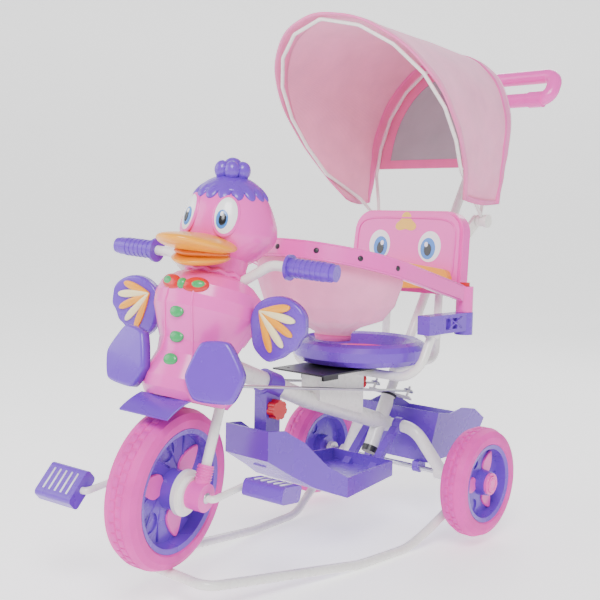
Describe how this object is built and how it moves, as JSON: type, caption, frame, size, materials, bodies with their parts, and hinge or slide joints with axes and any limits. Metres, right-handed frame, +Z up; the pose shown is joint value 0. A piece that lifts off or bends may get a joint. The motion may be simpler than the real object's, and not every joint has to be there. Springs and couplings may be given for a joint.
{
  "type": "rocking tricycle",
  "caption": "Toddler's rocking tricycle with a duck figure on the steering, linked push handle, guard ring, folding hood, footrest, basket and rocker base",
  "frame": {"origin": "centre of the bounding box on the floor", "axes": "+X is the rider's left, +Y points to the push handle and the duck faces -Y, +Z is up"},
  "size_m": [0.456, 1.1039, 0.9506],
  "materials": {
    "ivory_paint": "powder coat on steel tube",
    "bright_steel": "zinc plated",
    "dark_plastic": "moulded",
    "purple_plastic": "moulded",
    "pink_plastic": "moulded",
    "hot_pink_plastic": "moulded",
    "ivory_plastic": "moulded",
    "pink_foam": "foamed tread",
    "red_plastic": "moulded",
    "yellow_plastic": "moulded",
    "pink_cloth": "woven, piped hems"
  },
  "bodies": {
    "frame": {"main_frame": "ivory_paint", "rear_arch": "ivory_paint", "rear_axle": "bright_steel", "axle_bushes": "dark_plastic", "head_bushes": "dark_plastic", "push_tube_bushes": "dark_plastic", "rocker": "ivory_paint", "seat_pan": "purple_plastic", "seat_insert": "hot_pink_plastic", "seat_plate": "dark_plastic", "armrest_bar": "ivory_paint", "arm_collars": "ivory_paint", "arm_brackets": "purple_plastic", "backrest": "pink_plastic", "backrest_bill": "yellow_plastic", "backrest_posts": "ivory_paint", "hood_brackets": "ivory_paint", "footrest": "purple_plastic", "basket": "purple_plastic"},
    "steering": {"fork": "ivory_paint", "handlebar": "ivory_paint", "grip_left": "purple_plastic", "grip_right": "purple_plastic", "duck_front_shell": "pink_plastic", "duck_rear_shell": "pink_plastic", "duck_head": "pink_plastic", "duck_bill": "yellow_plastic", "duck_crown": "purple_plastic", "wings": "purple_plastic", "foot_pads": "purple_plastic", "mudguard": "purple_plastic", "hub_clamps": "pink_plastic", "steering_arm": "bright_steel"},
    "front_wheel": {"front_tyre": "pink_foam", "front_rim": "purple_plastic", "crank_axle": "ivory_paint", "hub_discs": "ivory_plastic"},
    "left_pedal": {"pedal_left": "purple_plastic"},
    "right_pedal": {"pedal_right": "purple_plastic"},
    "rear_wheel_l": {"rear_tyre_left": "pink_foam", "rear_rim_left": "purple_plastic", "hub_cap_left": "pink_plastic"},
    "rear_wheel_r": {"rear_tyre_right": "pink_foam", "rear_rim_right": "purple_plastic", "hub_cap_right": "pink_plastic"},
    "push_bar": {"push_tube": "ivory_paint", "push_handle": "pink_plastic"},
    "link_l": {"link_rod_left": "bright_steel"},
    "link_r": {"link_rod_right": "bright_steel"},
    "hood_rear": {"hood_rear_bow": "ivory_paint", "hood_back_panel": "pink_cloth", "hood_cover": "pink_cloth"},
    "hood_front": {"hood_front_bow": "ivory_paint"},
    "guard": {"guard_ring": "pink_plastic", "sling_cloth": "pink_cloth"},
    "guard_catch_l": {"guard_button_left": "red_plastic"},
    "guard_catch_r": {"guard_button_right": "red_plastic"},
    "seat_screw": {"seat_knob": "red_plastic"},
    "foot_screw": {"footrest_knob": "red_plastic"}
  },
  "joints": [
    {"name": "steer", "type": "hinge", "parent": "frame", "child": "steering", "pos_m": [0, -0.35744, 0.38371], "axis": [0, 0.299, 0.9542], "range_deg": [-43.4, 16.6]},
    {"name": "front_wheel_spin", "type": "hinge", "parent": "steering", "child": "front_wheel", "pos_m": [-0.00183, -0.4132, 0.18006], "axis": [0.9728, 0.2211, -0.0693], "continuous": true},
    {"name": "pedal_left_spin", "type": "hinge", "parent": "front_wheel", "child": "left_pedal", "pos_m": [0.11861, -0.30967, 0.18083], "axis": [0.9728, 0.2211, -0.0693], "continuous": true},
    {"name": "pedal_right_spin", "type": "hinge", "parent": "front_wheel", "child": "right_pedal", "pos_m": [-0.12227, -0.51674, 0.17929], "axis": [0.9728, 0.2211, -0.0693], "continuous": true},
    {"name": "rear_wheel_left_spin", "type": "hinge", "parent": "frame", "child": "rear_wheel_l", "pos_m": [0.196, 0.17, 0.117], "axis": [1, 0, 0], "continuous": true},
    {"name": "rear_wheel_right_spin", "type": "hinge", "parent": "frame", "child": "rear_wheel_r", "pos_m": [-0.196, 0.17, 0.117], "axis": [1, 0, 0], "continuous": true},
    {"name": "push_bar_turn", "type": "hinge", "parent": "frame", "child": "push_bar", "pos_m": [0, 0.11735, 0.199], "axis": [0, 0.5075, 0.8616], "range_deg": [-44, 17]},
    {"name": "link_left_turn", "type": "hinge", "parent": "steering", "child": "link_l", "pos_m": [0.03502, -0.36294, 0.33827], "axis": [0, 0.299, 0.9542], "range_deg": [-17, 44]},
    {"name": "link_right_turn", "type": "hinge", "parent": "steering", "child": "link_r", "pos_m": [-0.03502, -0.37886, 0.34326], "axis": [0, 0.299, 0.9542], "range_deg": [-17, 44]},
    {"name": "hood_tilt", "type": "hinge", "parent": "frame", "child": "hood_rear", "pos_m": [0, 0.262, 0.6], "axis": [1, 0, 0], "range_deg": [-15, 12]},
    {"name": "hood_fold", "type": "hinge", "parent": "hood_rear", "child": "hood_front", "pos_m": [0, 0.262, 0.6], "axis": [1, 0, 0], "range_deg": [-30, 0], "deforming": ["hood_cover"]},
    {"name": "guard_lift", "type": "slide", "parent": "frame", "child": "guard", "axis": [0, 0, 1], "range_m": [0, 0.03]},
    {"name": "guard_catch_left_press", "type": "slide", "parent": "guard", "child": "guard_catch_l", "axis": [0, 0, -1], "range_m": [0, 0.004], "stiffness_N_per_m": 600},
    {"name": "guard_catch_right_press", "type": "slide", "parent": "guard", "child": "guard_catch_r", "axis": [0, 0, -1], "range_m": [0, 0.004], "stiffness_N_per_m": 600},
    {"name": "seat_knob_turn", "type": "hinge", "parent": "frame", "child": "seat_screw", "pos_m": [0, 0.046, 0.295], "axis": [0, 1, 0], "range_deg": [-90, 90]},
    {"name": "footrest_knob_turn", "type": "hinge", "parent": "frame", "child": "foot_screw", "pos_m": [0.02, -0.197, 0.2763], "axis": [1, 0, 0], "range_deg": [-90, 90]}
  ],
  "couplings": [
    {"joint": "push_bar_turn", "follows": "steer", "ratio": 1},
    {"joint": "link_left_turn", "follows": "steer", "ratio": -1},
    {"joint": "link_right_turn", "follows": "steer", "ratio": -1}
  ]
}
